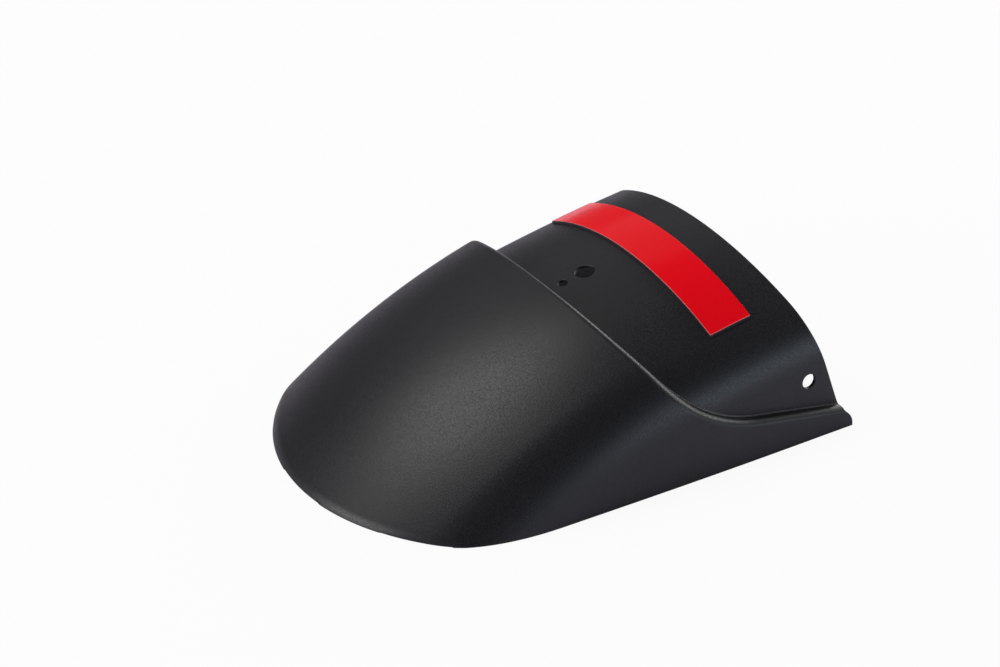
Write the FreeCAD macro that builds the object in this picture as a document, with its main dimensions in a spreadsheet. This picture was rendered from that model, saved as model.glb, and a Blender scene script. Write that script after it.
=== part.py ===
import FreeCAD, Part
import math
import os
import re
import Sketcher
from FreeCAD import Placement, Rotation, Vector

# Motorcycle mudguard extender, in millimetres and degrees.
# A moulded shell: a smooth cover carries on the line of the mudguard, and behind it a lower tongue
# tucks up under the mudguard, where a strip of foam tape under a peel-off liner holds it.
# X runs across the wheel, Y along the guard with the nose at -Y, and Z is up.
# The origin is on the base plane that the rim rests on, under the middle of the part.

SIZES = {
    "cover_length": 107.0,  # nose tip to the crown of the step, along Y
    "tongue_length": 97.4,  # crown of the step to the foot of the rear edge's line, along Y
    "base_width": 154.0,  # across the side walls at the base plane
    "wall": 1.5,  # thickness of the moulding
    "axle_drop": 225.5,  # the wheel's axle lies this far under the base plane
    "cover_rise": 71.7,  # top of the circle that the cover's crown follows, above the base plane
    "cover_crown_arc": 129.6,  # radius of the cover's section across its crown
    "cover_shoulder": 32.4,  # radius of the cover's section at each shoulder
    "wall_draft": 3.3,  # lean of the side walls
    "nose_land": 1.2,  # height of the upright edge at the nose tip
    "nose_round": 86.0,  # radius of the nose seen from above
    "nose_flare": 65.0,  # turn of the nose's arc on each side, past which the outline runs straight
    "rim_round": 4.0,  # rounding where the cover turns down into the upright edge
    "tongue_radius": 814.0,  # the tongue's crown bends round a far axis
    "tongue_tilt": 12.9,  # slope of the tongue's crown at the step
    "tongue_drop": 8.3,  # depth of the step at the crown
    "tongue_inset": 3.9,  # depth of the step at each side wall
    "tongue_crown_arc": 121.6,  # radius of the tongue's section across its crown
    "tongue_shoulder": 29.0,  # radius of the tongue's section at each shoulder
    "split_slope": 53.0,  # fall of the step line from the crown, seen from the side
    "split_round": 69.0,  # bend of the step line at the foot of that fall
    "strip_slope": 10.6,  # fall of the step line along the strip to the rear
    "strip_height": 9.0,  # height of the strip at its rear end
    "ridge_round": 1.5,  # rounding of the step's upper edge
    "rear_rake": 18.8,  # lean of the rear edge
    "tail_reach": 1.2,  # rear end of the strips behind the foot of the rear edge's line
    "tail_land": 1.0,  # upright part of that end, from the base plane
    "tail_round": 7.0,  # rounding of that end up to the rear edge
    "pilot_bore": 4.0,  # diameter of the small hole in the crown
    "pilot_back": 12.1,  # small hole behind the crown of the step, along Y
    "crown_bore": 8.0,  # diameter of the large hole in the crown
    "crown_bore_back": 22.3,  # large hole behind the crown of the step, along Y
    "side_bore": 6.0,  # diameter of the hole in each side wall
    "side_bore_height": 23.4,  # side holes above the base plane
    "side_bore_edge": 9.7,  # side holes in front of the rear edge, along Y
    "tape_width": 19.0,  # along the guard
    "tape_span": 110.0,  # across X, end to end
    "tape_edge": 15.5,  # tape in front of the rear edge at the crown
    "foam": 1.0,  # thickness of the foam tape
    "film": 0.12,  # thickness of the liner over the foam
    "overcut": 10.0,  # how far a form runs past the planes that trim it
}

# Places that follow from the sizes.
PLACES = {
    "tail_y": "(cover_length + tongue_length + tail_reach) / 2",
    "rear_y": "tail_y - tail_reach",
    "step_y": "rear_y - tongue_length",
    "nose_y": "step_y - cover_length",
    "side_reach": "base_width / 2 + overcut",
    "top_z": "cover_rise + overcut",
    "axle_z": "0 - axle_drop",
    "cover_radius": "axle_drop + cover_rise",
    "axle_y": "nose_y + sqrt(cover_radius^2 - (axle_drop + nose_land)^2)",
    "cover_start": "acos((axle_drop - overcut) / cover_radius) / 1 deg",
    "cover_sweep": "asin((rear_y - axle_y + overcut) / (axle_drop - overcut)) / 1 deg",
    "step_z": "sqrt(cover_radius^2 - (axle_y - step_y)^2) - axle_drop",
    "root_y": "step_y + tongue_drop * (axle_y - step_y) / cover_radius",
    "root_z": "step_z - tongue_drop * (step_z + axle_drop) / cover_radius",
    "far_y": "root_y + tongue_radius * sin(tongue_tilt)",
    "far_z": "root_z - tongue_radius * cos(tongue_tilt)",
    "tongue_start": "tongue_tilt + asin(overcut / tongue_radius) / 1 deg",
    "tongue_sweep": "asin((rear_y - far_y + overcut) / (0 - far_z - overcut)) / 1 deg",
    "rear_top_y": "rear_y - (tongue_radius + far_z) * tan(rear_rake)",
    "rear_top_z": "sqrt(tongue_radius^2 - (rear_top_y - far_y)^2) + far_z",
    "tape_y": "rear_y - rear_top_z * tan(rear_rake) - tape_edge - tape_width / 2",
    "tape_tilt": "asin((far_y - tape_y) / tongue_radius) / 1 deg",
    "side_bore_y": "rear_y - side_bore_height * tan(rear_rake) - side_bore_edge",
}

CLOSE = 0.01  # points this near to a skin lie on it
PROBES = 5  # points tried along an edge
DOWNWARDS = 1.5 * math.pi  # direction of the lowest point of a sketched circle

doc = FreeCAD.newDocument("mudguard_extender")
sheet = doc.addObject("Spreadsheet::Sheet", "sizes")
cells = {alias: str(value) for alias, value in SIZES.items()}
cells.update({alias: "=" + formula for alias, formula in PLACES.items()})
for row, (alias, text) in enumerate(cells.items(), start=1):
    sheet.set("A%d" % row, alias)
    sheet.set("B%d" % row, text)
    sheet.setAlias("B%d" % row, alias)
doc.recompute()


def worth(formula):
    """Number that a formula of the sheet's names comes to."""
    return float(sheet.evalExpression(formula))


def bind(thing, prop, formula):
    """Tie a property to the sheet, whose cells a formula names without their sheet."""
    def cell(found):
        return "sizes." + found.group() if found.group() in cells else found.group()
    thing.setExpression(prop, re.sub("[a-z_]+", cell, formula))


def measure(sketch, name, formula, kind, *where):
    """Add a dimension to a sketch and tie it to the sheet."""
    angle = kind == "Angle"
    value = math.radians(worth(formula)) if angle else worth(formula)
    sketch.addConstraint(Sketcher.Constraint(kind, *where, value))
    sketch.renameConstraint(sketch.ConstraintCount - 1, name)
    bind(sketch, "Constraints." + name, "(%s) * 1 deg" % formula if angle else formula)


def relate(sketch, kind, *pairs):
    """Add one kind of geometric constraint between several pairs of a sketch's lines and arcs."""
    for pair in pairs:
        sketch.addConstraint(Sketcher.Constraint(kind, *pair))


def bow(middle, size, start, end):
    """Arc of a circle in a sketch's own plane."""
    return Part.ArcOfCircle(Part.Circle(middle, Vector(0, 0, 1), size), start, end)


def bent_arch(name, side, grow, axis_y, axis_z, start, sweep):
    """Solid that a section of the guard makes as it is carried round its axis.

    The section is a crown arc, two shoulder arcs and two leaning walls, closed by a foot line under
    the base plane. grow moves its outline outwards. start is the angle ahead of upright at which the
    section begins, and sweep the angle past upright at which it ends.
    """
    radius = side + "_radius" + grow
    crown = side + "_crown_arc" + grow
    shoulder = side + "_shoulder" + grow
    inset = " - tongue_inset" if side == "tongue" else ""
    half = "base_width / 2 + overcut * tan(wall_draft)%s + (0%s) / cos(wall_draft)" % (inset, grow)
    foot = "0 - %s - overcut" % axis_z

    big = worth(crown)
    small = worth(shoulder)
    lean = math.radians(worth("wall_draft"))
    centre = Vector(0, worth(radius) - big, 0)
    foot_right = Vector(worth(half), worth(foot), 0)
    up = Vector(-math.sin(lean), math.cos(lean), 0)
    inwards = Vector(-math.cos(lean), -math.sin(lean), 0)
    reach = foot_right + inwards * small - centre
    rise = math.sqrt((reach * up) ** 2 - reach * reach + (big - small) ** 2) - reach * up
    corner = centre + reach + up * rise
    wall_top = corner - inwards * small
    turn = math.atan2(corner.y - centre.y, corner.x)
    corner_left, top_left, foot_left = (Vector(-p.x, p.y, 0) for p in (corner, wall_top, foot_right))

    sketch = doc.addObject("Sketcher::SketchObject", name + "_section")
    sketch.Placement = Placement(Vector(0, 0, 0), Rotation(Vector(1, 0, 0), 90))
    bind(sketch, "Placement.Base.y", axis_y)
    bind(sketch, "Placement.Base.z", axis_z)
    bind(sketch, "Placement.Rotation.Angle", "90 + " + start)
    sketch.addGeometry([
        Part.LineSegment(foot_right, wall_top),
        bow(corner, small, lean, turn),
        bow(centre, big, turn, math.pi - turn),
        bow(corner_left, small, math.pi - turn, math.pi - lean),
        Part.LineSegment(top_left, foot_left),
        Part.LineSegment(foot_left, foot_right),
    ], False)
    relate(sketch, "Tangent", (0, 2, 1, 1), (1, 2, 2, 1), (2, 2, 3, 1), (3, 2, 4, 1))
    relate(sketch, "Coincident", (4, 2, 5, 1), (5, 2, 0, 1))
    relate(sketch, "Symmetric", (4, 2, 0, 1, -2), (3, 3, 1, 3, -2))
    relate(sketch, "Equal", (1, 3))
    measure(sketch, "crown", crown, "Radius", 2)
    measure(sketch, "shoulder", shoulder, "Radius", 1)
    measure(sketch, "crown_centre", "%s - (%s)" % (radius, crown), "DistanceY", -1, 1, 2, 3)
    measure(sketch, "foot_half", half, "DistanceX", -1, 1, 0, 1)
    measure(sketch, "foot_height", foot, "DistanceY", -1, 1, 0, 1)
    measure(sketch, "lean", "90 + wall_draft", "Angle", 0)

    form = doc.addObject("Part::Revolution", name)
    form.Source = sketch
    form.Axis = Vector(-1, 0, 0)
    form.Solid = True
    bind(form, "Base.y", axis_y)
    bind(form, "Base.z", axis_z)
    bind(form, "Angle", "%s + %s" % (start, sweep))
    return form


def side_sketch(name):
    """Empty sketch in the plane of symmetry: its own X runs along Y and its own Y along Z."""
    sketch = doc.addObject("Sketcher::SketchObject", name + "_outline")
    sketch.Placement = Placement(Vector(0, 0, 0), Rotation(Vector(1, 1, 1), 120))
    return sketch


def across(name, sketch):
    """Solid of a side outline carried across the whole width."""
    form = doc.addObject("Part::Extrusion", name)
    form.Base = sketch
    form.DirMode = "Custom"
    form.Dir = Vector(1, 0, 0)
    form.Solid = True
    bind(form, "LengthFwd", "side_reach")
    bind(form, "LengthRev", "side_reach")
    return form


def cover_side(name, deeper):
    """Space in front of and under the step line, which deeper moves into the cover.

    From the crown the line falls straight, bends through an arc and runs on along the strip.
    """
    top_y = "step_y - (top_z - step_z) / tan(split_slope) - (0%s) / sin(split_slope)" % deeper
    tail = "strip_height - (overcut + strip_height * tan(rear_rake)) * tan(strip_slope)"
    tail_z = "%s - (0%s) / cos(strip_slope)" % (tail, deeper)
    fall = math.radians(worth("split_slope"))
    slope = math.radians(worth("strip_slope"))
    size = worth("split_round" + deeper)
    top = Vector(worth(top_y), worth("top_z"), 0)
    end = Vector(worth("rear_y + overcut"), worth(tail_z), 0)
    front_y = worth("nose_y - overcut")
    base_z = worth("0 - overcut")
    down = Vector(math.cos(fall), -math.sin(fall), 0)
    back = Vector(-math.cos(slope), math.sin(slope), 0)
    span = end - top
    meet = top + down * ((span.x * back.y - span.y * back.x) / (down.x * back.y - down.y * back.x))
    tangent = size * math.tan((fall - slope) / 2)
    bend_in = meet - down * tangent
    bend_out = meet - back * tangent
    middle = bend_in + Vector(math.sin(fall), math.cos(fall), 0) * size

    sketch = side_sketch(name)
    corners = [Vector(end.x, base_z, 0), Vector(front_y, base_z, 0), Vector(front_y, top.y, 0)]
    sketch.addGeometry([
        Part.LineSegment(top, bend_in),
        bow(middle, size, DOWNWARDS - fall, DOWNWARDS - slope),
        Part.LineSegment(bend_out, end),
        Part.LineSegment(end, corners[0]),
        Part.LineSegment(corners[0], corners[1]),
        Part.LineSegment(corners[1], corners[2]),
        Part.LineSegment(corners[2], top),
    ], False)
    relate(sketch, "Tangent", (0, 2, 1, 1), (1, 2, 2, 1))
    relate(sketch, "Coincident", (2, 2, 3, 1), (3, 2, 4, 1), (4, 2, 5, 1), (5, 2, 6, 1), (6, 2, 0, 1))
    relate(sketch, "Vertical", (3,), (5,))
    relate(sketch, "Horizontal", (4,), (6,))
    measure(sketch, "bend", "split_round" + deeper, "Radius", 1)
    measure(sketch, "fall", "0 - split_slope", "Angle", 0)
    measure(sketch, "slope", "0 - strip_slope", "Angle", 2)
    measure(sketch, "top_y", top_y, "DistanceX", -1, 1, 0, 1)
    measure(sketch, "top_z", "top_z", "DistanceY", -1, 1, 0, 1)
    measure(sketch, "tail_y", "rear_y + overcut", "DistanceX", -1, 1, 2, 2)
    measure(sketch, "tail_z", tail_z, "DistanceY", -1, 1, 2, 2)
    measure(sketch, "front_y", "nose_y - overcut", "DistanceX", -1, 1, 5, 1)
    measure(sketch, "base_z", "0 - overcut", "DistanceY", -1, 1, 5, 1)
    return across(name, sketch)


def trim_side(name):
    """Space over the base plane and in front of the rear end.

    The end stands upright at the base plane, rounds off over the strips, and leans along the rear edge.
    """
    rear_top_y = "rear_y - top_z * tan(rear_rake)"
    size = worth("tail_round")
    lean = math.radians(worth("rear_rake"))
    foot = Vector(worth("tail_y"), 0, 0)
    land = Vector(worth("tail_y"), worth("tail_land"), 0)
    top = Vector(worth(rear_top_y), worth("top_z"), 0)
    front = Vector(worth("nose_y - overcut"), 0, 0)
    middle = land - Vector(size, 0, 0)
    up = Vector(-math.sin(lean), math.cos(lean), 0)
    reach = middle - top
    turn = top + up * (reach * up + math.sqrt((reach * up) ** 2 - reach * reach + size * size))
    rise = math.atan2(turn.y - middle.y, turn.x - middle.x)
    front_top = Vector(front.x, top.y, 0)

    sketch = side_sketch(name)
    sketch.addGeometry([
        Part.LineSegment(foot, land),
        bow(middle, size, 0, rise),
        Part.LineSegment(turn, top),
        Part.LineSegment(top, front_top),
        Part.LineSegment(front_top, front),
        Part.LineSegment(front, foot),
    ], False)
    relate(sketch, "Tangent", (0, 2, 1, 1))
    relate(sketch, "Coincident", (1, 2, 2, 1), (2, 2, 3, 1), (3, 2, 4, 1), (4, 2, 5, 1), (5, 2, 0, 1))
    relate(sketch, "Vertical", (0,), (4,))
    relate(sketch, "Horizontal", (3,), (5,))
    relate(sketch, "PointOnObject", (0, 1, -1))
    measure(sketch, "tail_y", "tail_y", "DistanceX", -1, 1, 0, 1)
    measure(sketch, "land", "tail_land", "DistanceY", 0, 1, 0, 2)
    measure(sketch, "tail", "tail_round", "Radius", 1)
    measure(sketch, "rake", "90 + rear_rake", "Angle", 2)
    measure(sketch, "rear_top_y", rear_top_y, "DistanceX", -1, 1, 2, 2)
    measure(sketch, "top_z", "top_z", "DistanceY", -1, 1, 2, 2)
    measure(sketch, "front_y", "nose_y - overcut", "DistanceX", -1, 1, 4, 2)
    return across(name, sketch)


def nose_plan(name):
    """Space inside the nose's upright edge: an arc seen from above, carried on by straight lines."""
    size = worth("nose_round")
    flare = math.radians(worth("nose_flare"))
    rear = worth("rear_y + 2 * overcut")
    middle = Vector(0, worth("nose_y") + size, 0)
    end = middle + Vector(math.sin(flare), -math.cos(flare), 0) * size
    far = end + Vector(math.cos(flare), math.sin(flare), 0) * ((rear - end.y) / math.sin(flare))
    end_left, far_left = (Vector(-p.x, p.y, 0) for p in (end, far))
    sketch = doc.addObject("Sketcher::SketchObject", name + "_outline")
    sketch.addGeometry([
        bow(middle, size, DOWNWARDS - flare, DOWNWARDS + flare),
        Part.LineSegment(end, far),
        Part.LineSegment(far, far_left),
        Part.LineSegment(far_left, end_left),
    ], False)
    relate(sketch, "Tangent", (0, 2, 1, 1), (3, 2, 0, 1))
    relate(sketch, "Coincident", (1, 2, 2, 1), (2, 2, 3, 1))
    relate(sketch, "Symmetric", (1, 2, 3, 1, -2))
    relate(sketch, "PointOnObject", (0, 3, -2))
    measure(sketch, "nose", "nose_round", "Radius", 0)
    measure(sketch, "middle_y", "nose_y + nose_round", "DistanceY", -1, 1, 0, 3)
    measure(sketch, "flare", "nose_flare", "Angle", 1)
    measure(sketch, "rear_y", "rear_y + 2 * overcut", "DistanceY", -1, 1, 1, 2)
    form = doc.addObject("Part::Extrusion", name)
    form.Base = sketch
    form.DirMode = "Custom"
    form.Dir = Vector(0, 0, 1)
    form.Solid = True
    bind(form, "LengthFwd", "top_z + overcut")
    bind(form, "LengthRev", "axle_drop")
    return form


def combine(kind, name, base, tool):
    """Part::Common, Part::Cut or Part::Fuse of two forms."""
    form = doc.addObject("Part::" + kind, name)
    form.Base = base
    form.Tool = tool
    form.Refine = True
    return form


def cylinder(name, bore, places, height, axis, turn):
    """Cutter for a round hole: its foot at places and its length along local Z, turned about axis."""
    form = doc.addObject("Part::Cylinder", name)
    form.Placement = Placement(Vector(0, 0, 0), Rotation(axis, worth(turn)))
    bind(form, "Radius", bore + " / 2")
    bind(form, "Height", height)
    for letter, formula in zip("xyz", places):
        bind(form, "Placement.Base." + letter, formula)
    bind(form, "Placement.Rotation.Angle", turn)
    return form


def crown_cutter(name, bore, back):
    """Cutter square to the tongue's crown, at a distance behind the crown of the step."""
    ahead = "(far_y - step_y - %s) / tongue_radius" % back
    foot = "(tongue_radius - overcut)"
    places = ("0", "far_y - %s * %s" % (foot, ahead), "far_z + %s * cos(asin(%s))" % (foot, ahead))
    return cylinder(name, bore, places, "2 * overcut", Vector(1, 0, 0), "asin(%s)" % ahead)


def slanting(shape):
    """Faces of a shape that lie square to none of the axes."""
    def slants(face):
        box = face.BoundBox
        return min(box.XLength, box.YLength, box.ZLength) > CLOSE
    return Part.Compound([face for face in shape.Faces if slants(face)])


def touching(shape, *skins):
    """Numbers of a shape's edges that rise over the base plane and lie on every one of the skins."""
    found = []
    for number, edge in enumerate(shape.Edges, start=1):
        points = edge.discretize(PROBES)
        rises = max(p.z for p in points) > 0
        if rises and all(Part.Vertex(p).distToShape(skin)[0] < CLOSE for p in points for skin in skins):
            found.append(number)
    return found


def rounded(name, base, rounds):
    """Part::Fillet of a form: rounds pairs each size with the skins that its edges lie on."""
    doc.recompute()
    form = doc.addObject("Part::Fillet", name)
    form.Base = base
    edges = []
    for size, skins in rounds:
        edges += [(number, worth(size), worth(size)) for number in touching(base.Shape, *skins)]
    form.Edges = edges
    return form


# Cover and tongue as full arches, and the space that the cover takes in the side view.
COVER = ("axle_y", "axle_z", "cover_start", "cover_sweep")
TONGUE = ("far_y", "far_z", "tongue_start", "tongue_sweep")
cover_arch = bent_arch("cover_arch", "cover", "", *COVER)
cover_space = cover_side("cover_space", "")
tongue_arch = bent_arch("tongue_arch", "tongue", "", *TONGUE)
nose_space = nose_plan("nose_space")
long_cover = combine("Common", "long_cover", cover_arch, cover_space)
cover = combine("Common", "cover", long_cover, nose_space)
outside = combine("Fuse", "outside", cover, tongue_arch)
doc.recompute()

# Rounding of the step and of the nose's rim.
cover_skin = cover_arch.Shape.Shells[0]
step_skin = slanting(cover_space.Shape)
nose_skin = nose_space.Shape.Shells[0]
smooth = rounded("smooth", outside, (
    ("ridge_round", (cover_skin, step_skin)),
    ("rim_round", (cover_skin, nose_skin)),
))

# Hollow under the guard: the same arches one wall smaller, with the step moved one wall into the cover.
cover_core = bent_arch("cover_core", "cover", " - wall", *COVER)
tongue_core = bent_arch("tongue_core", "tongue", " - wall", *TONGUE)
core_space = cover_side("core_space", " + wall")
cover_hollow = combine("Common", "cover_hollow", cover_core, core_space)
hollow = combine("Fuse", "hollow", cover_hollow, tongue_core)
thin = combine("Cut", "thin", smooth, hollow)
trimmed = combine("Common", "trimmed", thin, trim_side("trim_space"))

# Holes: two on the centre line of the tongue, and one in each side wall.
crown_hole = crown_cutter("crown_hole", "crown_bore", "crown_bore_back")
pilot_hole = crown_cutter("pilot_hole", "pilot_bore", "pilot_back")
side_places = ("0 - side_reach", "side_bore_y", "side_bore_height")
side_holes = cylinder("side_holes", "side_bore", side_places, "2 * side_reach", Vector(0, 1, 0), "90")
one_hole = combine("Cut", "one_hole", trimmed, crown_hole)
two_holes = combine("Cut", "two_holes", one_hole, pilot_hole)
shell = combine("Cut", "shell", two_holes, side_holes)
shell.Label = "extender_shell"

# Tape: a strip of foam laid square to the tongue's crown, and its liner laid over the foam.
strip_space = doc.addObject("Part::Box", "strip_space")
strip_space.Placement = Placement(Vector(0, 0, 0), Rotation(Vector(1, 0, 0), worth("tape_tilt")))
bind(strip_space, "Length", "tape_span")
bind(strip_space, "Width", "tape_width")
bind(strip_space, "Height", "tongue_radius + overcut")
bind(strip_space, "Placement.Base.x", "0 - tape_span / 2")
bind(strip_space, "Placement.Base.y", "far_y - tape_width / 2 * cos(tape_tilt)")
bind(strip_space, "Placement.Base.z", "far_z - tape_width / 2 * sin(tape_tilt)")
bind(strip_space, "Placement.Rotation.Angle", "tape_tilt")
foam_arch = bent_arch("foam_arch", "tongue", " + foam", *TONGUE)
film_arch = bent_arch("film_arch", "tongue", " + foam + film", *TONGUE)
foam_strip = combine("Common", "foam_strip", foam_arch, strip_space)
film_strip = combine("Common", "film_strip", film_arch, strip_space)
tape = combine("Cut", "tape", foam_strip, tongue_arch)
tape.Label = "adhesive_tape"
liner = combine("Cut", "liner", film_strip, foam_arch)
liner.Label = "release_liner"
doc.recompute()

# Every object is sound, and every piece is one valid solid, before anything is written.
for thing in doc.Objects:
    if "Invalid" in thing.State or "Error" in thing.State:
        raise RuntimeError("%s failed: %s" % (thing.Name, thing.State))
PIECES = (shell, tape, liner)
for piece in PIECES:
    if piece.Shape.isNull() or not piece.Shape.isValid() or len(piece.Shape.Solids) != 1:
        raise RuntimeError("%s is not one valid solid" % piece.Label)

os.makedirs("parts", exist_ok=True)
for piece in PIECES:
    piece.Shape.exportStep("parts/%s.step" % piece.Label)
    box = piece.Shape.optimalBoundingBox(False, False)
    sides = " x ".join("%.2f" % side for side in (box.XLength, box.YLength, box.ZLength))
    print("%s: %s mm, %.0f mm3" % (piece.Label, sides, piece.Shape.Volume))
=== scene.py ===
# %% [markdown]
# # A motorcycle mudguard extender
# The object is a moulded arch of satin black plastic. Its smooth cover carries on the line of a
# mudguard, and behind a step a lower tongue tucks up under the mudguard. Across the tongue lies a
# strip of foam tape that still has its red liner on. The CAD model holds the same three pieces, and
# this lesson dresses them: each piece is worked out again as a finer surface with numpy, gets a
# finish, and is set on a pale floor under soft light.

import math

import bpy
import numpy as np
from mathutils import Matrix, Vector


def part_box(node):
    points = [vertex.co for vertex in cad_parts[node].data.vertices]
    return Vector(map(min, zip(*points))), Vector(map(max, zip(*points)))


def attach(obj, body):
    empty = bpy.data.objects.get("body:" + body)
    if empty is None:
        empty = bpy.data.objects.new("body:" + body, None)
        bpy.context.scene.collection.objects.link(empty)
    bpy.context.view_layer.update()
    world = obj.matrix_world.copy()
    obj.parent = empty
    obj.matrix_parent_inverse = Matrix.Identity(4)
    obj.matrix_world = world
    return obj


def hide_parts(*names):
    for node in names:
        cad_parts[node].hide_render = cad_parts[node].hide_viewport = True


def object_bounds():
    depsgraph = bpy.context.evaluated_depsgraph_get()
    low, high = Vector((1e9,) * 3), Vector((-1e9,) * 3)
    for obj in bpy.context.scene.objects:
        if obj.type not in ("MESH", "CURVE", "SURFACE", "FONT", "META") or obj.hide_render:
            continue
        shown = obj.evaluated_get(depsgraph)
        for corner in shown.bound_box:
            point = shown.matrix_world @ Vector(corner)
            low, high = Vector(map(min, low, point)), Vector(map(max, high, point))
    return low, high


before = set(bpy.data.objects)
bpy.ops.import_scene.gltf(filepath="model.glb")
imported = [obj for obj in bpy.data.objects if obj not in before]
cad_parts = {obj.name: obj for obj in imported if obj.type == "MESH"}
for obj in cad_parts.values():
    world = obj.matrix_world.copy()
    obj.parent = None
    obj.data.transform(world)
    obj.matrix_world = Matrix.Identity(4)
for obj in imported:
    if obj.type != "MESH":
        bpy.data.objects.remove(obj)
cad_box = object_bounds()
print("nodes:", sorted(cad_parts))
print("CAD box in metres:", [[round(value, 5) for value in corner] for corner in cad_box])

# %% [markdown]
# ## The two arches
# Cover and tongue are arches of the same family: a flat crown arc, two tighter shoulder arcs and two
# walls that lean in a little, carried round an axle that runs across the wheel. The cover turns round
# the wheel's own axle and the tongue round a far one. Such a surface could be bent from a plane by
# modifiers, but a formula is exact: a place on it has two numbers, the distance along the section and
# the turn round the axle, and a wall is the same surface at some depth under it.

# %% Sizes of the shell, in millimetres and radians
MM = 0.001
WALL = 1.5
HALF_WIDTH = cad_box[1][0] / MM
TAIL_Y = cad_box[1][1] / MM
NOSE_Y = -TAIL_Y
DRAFT = math.radians(3.3)

AXLE_DROP = 225.5
COVER_RISE = 71.7
NOSE_LAND = 1.2
COVER_RADIUS = AXLE_DROP + COVER_RISE
AXLE_Y = NOSE_Y + math.sqrt(COVER_RADIUS ** 2 - (AXLE_DROP + NOSE_LAND) ** 2)

COVER_LENGTH = 107.0
STEP_Y = NOSE_Y + COVER_LENGTH
STEP_Z = math.sqrt(COVER_RADIUS ** 2 - (AXLE_Y - STEP_Y) ** 2) - AXLE_DROP
STEP_DROP = 8.3
ROOT_Y = STEP_Y + STEP_DROP * (AXLE_Y - STEP_Y) / COVER_RADIUS
ROOT_Z = STEP_Z - STEP_DROP * (STEP_Z + AXLE_DROP) / COVER_RADIUS

TONGUE_RADIUS = 814.0
TONGUE_TILT = math.radians(12.9)
TONGUE_INSET = 3.9
FAR_Y = ROOT_Y + TONGUE_RADIUS * math.sin(TONGUE_TILT)
FAR_Z = ROOT_Z - TONGUE_RADIUS * math.cos(TONGUE_TILT)
print("step at (%.2f, %.2f), far axle at (%.1f, %.1f)" % (STEP_Y, STEP_Z, FAR_Y, FAR_Z))


# %% The arch as a surface
class Arch:
    """Section of a crown arc, two shoulder arcs and two leaning walls, carried round an axle.

    along is the distance from the crown along the section, negative on the left. turn is the angle
    round the axle, negative ahead of upright. Height is measured from the axle.
    """

    def __init__(self, axle_y, axle_z, radius, crown, shoulder, half):
        self.axle = np.array([axle_y, axle_z])
        self.crown = crown
        self.shoulder = shoulder
        self.crown_height = radius - crown
        down = np.array([math.sin(DRAFT), -math.cos(DRAFT)])
        out = np.array([math.cos(DRAFT), math.sin(DRAFT)])
        reach = np.array([half, -axle_z]) - shoulder * out - [0.0, self.crown_height]
        slide = reach @ down
        rise = slide + math.sqrt(slide ** 2 - reach @ reach + (crown - shoulder) ** 2)
        corner = reach - rise * down
        self.corner = corner + [0.0, self.crown_height]
        self.wall_top = self.corner + shoulder * out
        self.crown_angle = math.atan2(corner[0], corner[1])
        self.wall_angle = math.pi / 2 - DRAFT
        self.crown_end = crown * self.crown_angle
        self.wall_start = self.crown_end + shoulder * (self.wall_angle - self.crown_angle)

    def section(self, along, depth=0.0):
        """Across, height and normal of the section: an angle grows along each arc and stays on the wall."""
        run = np.abs(along)
        side = np.where(along < 0, -1.0, 1.0)
        bend = self.crown_angle + (run - self.crown_end) / self.shoulder
        angle = np.where(run < self.crown_end, run / self.crown, np.minimum(bend, self.wall_angle))
        fall = np.maximum(run - self.wall_start, 0.0)
        on_crown = run < self.crown_end
        size = np.where(on_crown, self.crown, self.shoulder) - depth
        across = np.where(on_crown, 0.0, self.corner[0]) + size * np.sin(angle) + fall * math.sin(DRAFT)
        height = np.where(on_crown, self.crown_height, self.corner[1]) + size * np.cos(angle)
        return side * across, height - fall * math.cos(DRAFT), side * np.sin(angle), np.cos(angle)

    def point(self, along, turn, depth=0.0):
        """Place on the surface, or at a depth under it: the section's height swung round the axle."""
        across, height, _, _ = self.section(along, depth)
        swung = (self.axle[0] + height * np.sin(turn), self.axle[1] + height * np.cos(turn))
        return np.stack(np.broadcast_arrays(across, *swung), axis=-1)

    def normal(self, along, turn):
        """Outward direction: the section's normal swung round the axle."""
        _, _, across, height = self.section(along)
        return np.stack(np.broadcast_arrays(across, height * np.sin(turn), height * np.cos(turn)), axis=-1)

    def along_at(self, height, depth=0.0):
        """Distance along the right half at which the section has a given height."""
        crown = np.arccos(np.clip((height - self.crown_height) / (self.crown - depth), -1, 1))
        bend = np.arccos(np.clip((height - self.corner[1]) / (self.shoulder - depth), -1, 1))
        wall_top = self.corner[1] + (self.shoulder - depth) * math.sin(DRAFT)
        wall = self.wall_start + (wall_top - height) / math.cos(DRAFT)
        bent = self.crown_end + self.shoulder * (bend - self.crown_angle)
        past_crown = np.where(height > wall_top, bent, wall)
        return np.where(crown < self.crown_angle, self.crown * crown, past_crown)

    def place(self, points):
        """along and turn of the place on the surface nearest to each point."""
        across = np.abs(points[..., 0])
        height = np.hypot(points[..., 1] - self.axle[0], points[..., 2] - self.axle[1])
        crown = np.arctan2(across, height - self.crown_height)
        bend = np.arctan2(across - self.corner[0], height - self.corner[1])
        fall = (across - self.wall_top[0]) * math.sin(DRAFT) + (self.wall_top[1] - height) * math.cos(DRAFT)
        bent = self.crown_end + self.shoulder * (bend - self.crown_angle)
        past_crown = np.where(bend < self.wall_angle, bent, self.wall_start + fall)
        run = np.where(crown < self.crown_angle, self.crown * crown, past_crown)
        turn = np.arctan2(points[..., 1] - self.axle[0], points[..., 2] - self.axle[1])
        return np.where(points[..., 0] < 0, -run, run), turn

    def distance(self, points):
        """Distance of points outside the surface, along its own normal."""
        along, turn = self.place(points)
        return ((points - self.point(along, turn)) * self.normal(along, turn)).sum(axis=-1)


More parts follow.
